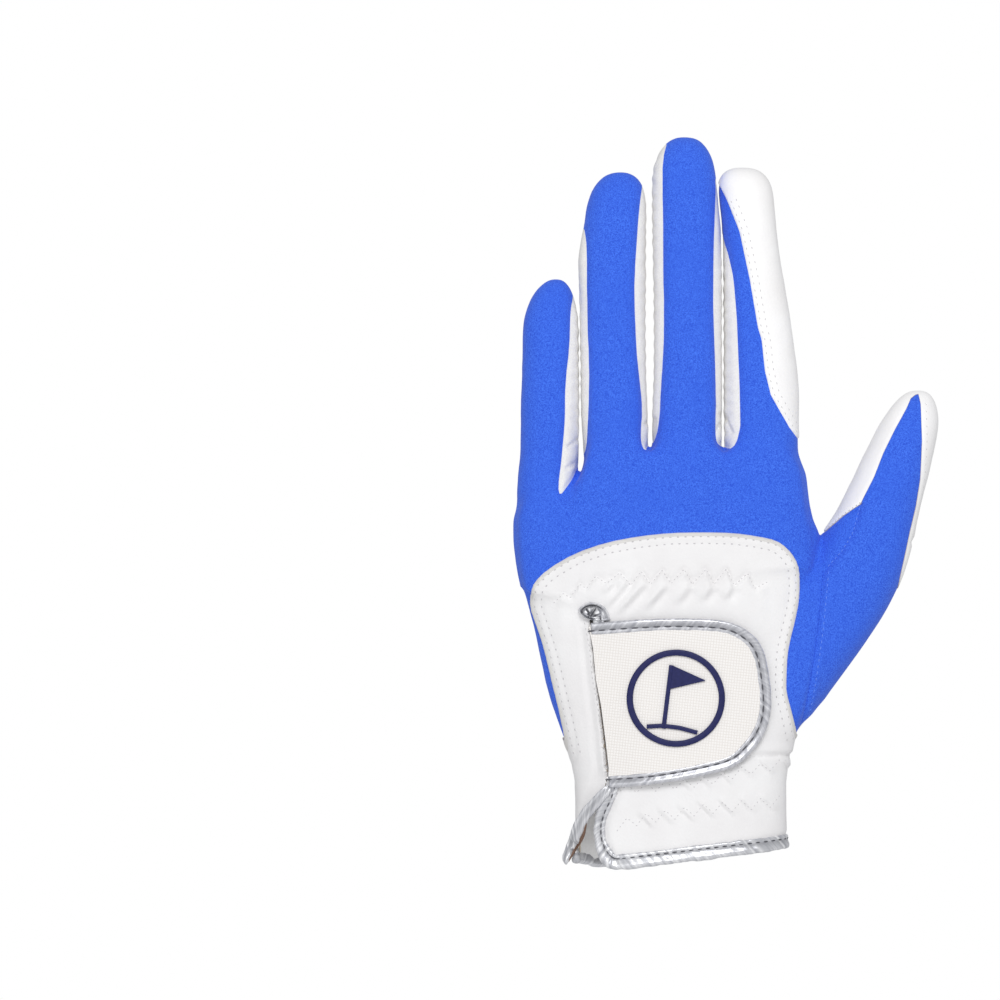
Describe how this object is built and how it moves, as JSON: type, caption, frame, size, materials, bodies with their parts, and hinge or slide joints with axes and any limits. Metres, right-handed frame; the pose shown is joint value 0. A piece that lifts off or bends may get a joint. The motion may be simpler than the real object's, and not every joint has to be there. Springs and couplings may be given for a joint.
{
  "type": "golf glove",
  "caption": "Left-hand golf glove with stretch-knit back, leather palm, elastic yoke, slit closed by a piped hook-and-loop tab, and stalls that flex at their roots.",
  "frame": {"origin": "middle of the wrist opening, at the level of the hem", "axes": "+Z runs along the middle finger to its tip, +X points to the thumb side, +Y points out of the palm and -Y out of the back of the hand"},
  "size_m": [0.1266, 0.0323, 0.2214],
  "materials": {
    "blue_knit": "matt four-way stretch knit",
    "white_leather": "soft matt with a fine grain",
    "yoke_fabric": "soft matt synthetic leather",
    "white_knit": "matt fine knit",
    "silver_binding": "satin folded tape",
    "silver_piping": "satin corded piping",
    "woven_face": "fine square weave",
    "navy_emblem": "satin moulded",
    "silicone": "soft satin, slightly clear",
    "elastic": "ribbed elastic tape",
    "hook_plastic": "fine moulded hooks",
    "loop_fabric": "brushed loops",
    "label_tape": "satin tape"
  },
  "bodies": {
    "hand": {"back_panel": "blue_knit", "palm_panel": "white_leather", "thumb_base_back": "blue_knit", "thumb_base_palm": "white_leather", "yoke": "yoke_fabric", "knuckle_elastic": "elastic", "wrist_elastic_upper": "elastic", "wrist_elastic_lower": "elastic", "slit_binding_left": "silver_binding", "slit_binding_right": "silver_binding", "slit_top_arch": "silver_binding", "hem_binding": "silver_binding", "loop_patch": "loop_fabric", "size_label": "label_tape", "palm_grip_pads": "silicone"},
    "closure_tab": {"tab_backing": "white_leather", "tab_face": "woven_face", "tab_piping": "silver_piping", "hook_patch": "hook_plastic", "emblem": "navy_emblem"},
    "index_stall": {"index_back": "blue_knit", "index_palm": "white_leather", "index_side_leather": "white_leather", "index_fourchette": "white_knit"},
    "middle_stall": {"middle_back": "blue_knit", "middle_palm": "white_leather", "middle_fourchette_index_side": "white_knit", "middle_fourchette_ring_side": "white_knit"},
    "ring_stall": {"ring_back": "blue_knit", "ring_palm": "white_leather", "ring_fourchette_middle_side": "white_knit", "ring_fourchette_little_side": "white_knit"},
    "little_stall": {"little_back": "blue_knit", "little_palm": "white_leather", "little_fourchette": "white_knit"},
    "thumb_stall": {"thumb_back": "blue_knit", "thumb_palm": "white_leather"}
  },
  "joints": [
    {"name": "little_flex", "type": "hinge", "parent": "hand", "child": "little_stall", "pos_m": [-0.0424, 0.0086, 0.1074], "axis": [-1, 0, 0], "range_deg": [0, 80], "stiffness_Nm_per_rad": 0.01},
    {"name": "ring_flex", "type": "hinge", "parent": "hand", "child": "ring_stall", "pos_m": [-0.0225, 0.0092, 0.1206], "axis": [-1, 0, 0], "range_deg": [0, 80], "stiffness_Nm_per_rad": 0.01},
    {"name": "middle_flex", "type": "hinge", "parent": "hand", "child": "middle_stall", "pos_m": [-0.0011, 0.0092, 0.1206], "axis": [-1, 0, 0], "range_deg": [0, 80], "stiffness_Nm_per_rad": 0.01},
    {"name": "index_flex", "type": "hinge", "parent": "hand", "child": "index_stall", "pos_m": [0.0212, 0.0092, 0.1206], "axis": [-1, 0, 0], "range_deg": [0, 80], "stiffness_Nm_per_rad": 0.01},
    {"name": "thumb_flex", "type": "hinge", "parent": "hand", "child": "thumb_stall", "pos_m": [0.0525, 0.0138, 0.0915], "axis": [-0.9415, 0, 0.3371], "range_deg": [0, 50], "stiffness_Nm_per_rad": 0.01},
    {"name": "tab_fold", "type": "hinge", "parent": "hand", "child": "closure_tab", "pos_m": [-0.0272, -0.0127, 0.046], "axis": [0.1396, -0.0135, -0.9901], "range_deg": [0, 145]}
  ]
}
